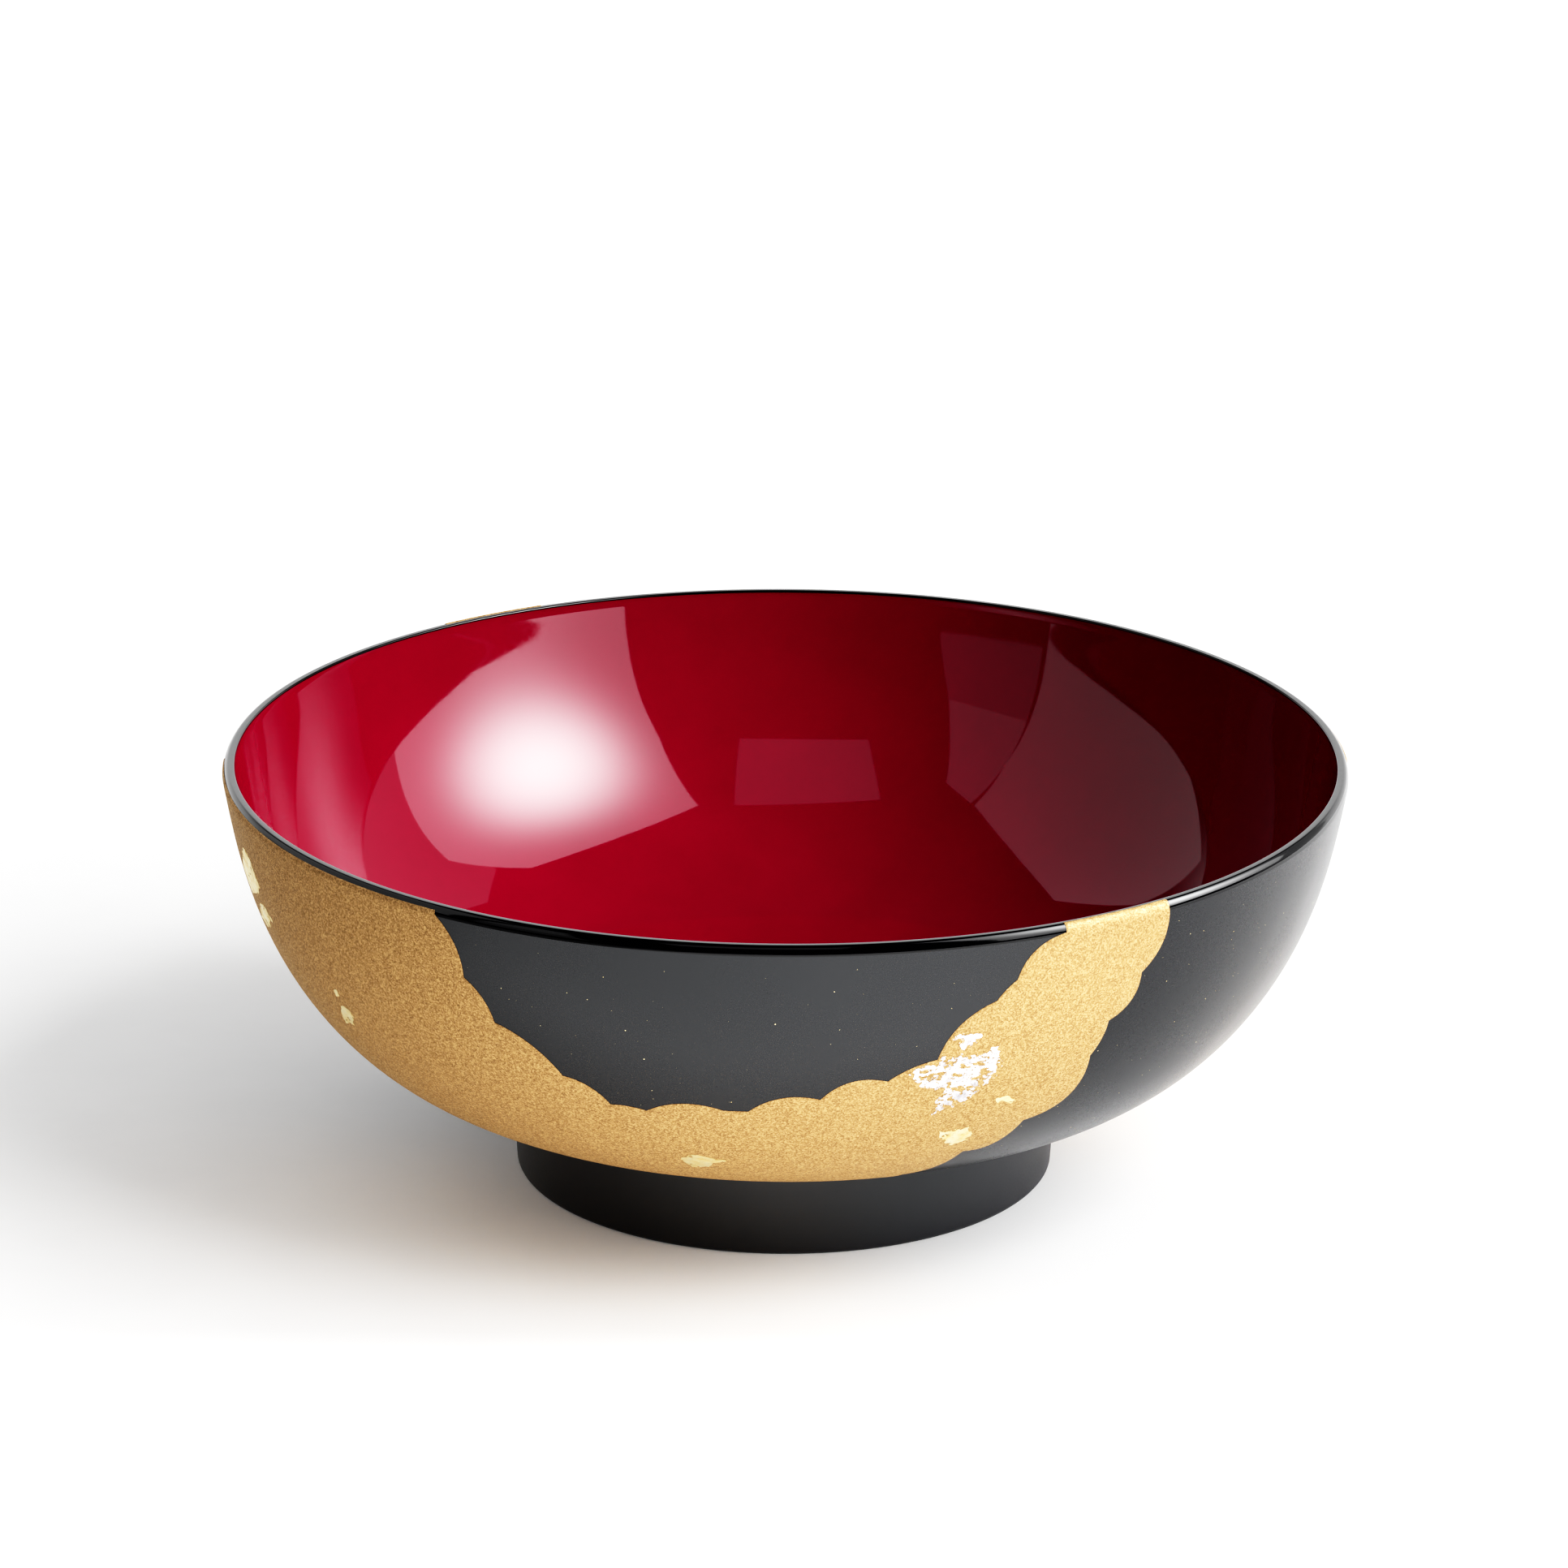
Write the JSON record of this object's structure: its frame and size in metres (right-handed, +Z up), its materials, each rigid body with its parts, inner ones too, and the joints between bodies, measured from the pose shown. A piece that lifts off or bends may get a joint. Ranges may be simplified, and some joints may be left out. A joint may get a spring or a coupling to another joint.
{
  "type": "lacquer serving bowl",
  "caption": "Round lacquered wooden serving bowl on a turned foot ring: satin black outside with scalloped gold clouds and torn metal leaf, glossy red inside.",
  "frame": {"origin": "centre of the circle that the foot stands on", "axes": "+Z up out of the bowl; -Y is the front, where the black window between the cloud's two arms is; +X is to the right of someone facing that front"},
  "size_m": [0.2404, 0.2398, 0.0916],
  "materials": {
    "wood": "turned, bare under the lacquer",
    "red_lacquer": "polished red lacquer",
    "black_satin_lacquer": "satin black lacquer",
    "black_gloss_lacquer": "polished black lacquer",
    "foot_satin_lacquer": "satin black lacquer",
    "gold_powder": "gold powder set in lacquer",
    "silver_leaf": "crinkled leaf under a clear coat",
    "gold_leaf": "torn leaf under a clear coat"
  },
  "bodies": {
    "root": {"wood_body": "wood", "foot_ring": "wood", "red_lining": "red_lacquer", "black_outer_coat": "black_satin_lacquer", "black_lip": "black_gloss_lacquer", "foot_coat": "foot_satin_lacquer", "underside_coat": "foot_satin_lacquer", "gold_cloud_front": "gold_powder", "gold_cloud_back": "gold_powder", "silver_leaf_large_front": "silver_leaf", "silver_leaf_small_front": "silver_leaf", "gold_leaf_patch_front": "gold_leaf", "gold_leaf_hook_front": "gold_leaf", "gold_leaf_torn_front": "gold_leaf", "gold_leaf_long_front": "gold_leaf", "gold_leaf_side_front": "gold_leaf", "gold_leaf_chip_front": "gold_leaf", "gold_leaf_speck_front": "gold_leaf", "silver_leaf_large_back": "silver_leaf", "silver_leaf_small_back": "silver_leaf", "gold_leaf_patch_back": "gold_leaf", "gold_leaf_hook_back": "gold_leaf", "gold_leaf_torn_back": "gold_leaf", "gold_leaf_long_back": "gold_leaf", "gold_leaf_side_back": "gold_leaf", "gold_leaf_chip_back": "gold_leaf", "gold_leaf_speck_back": "gold_leaf"}
  },
  "joints": []
}
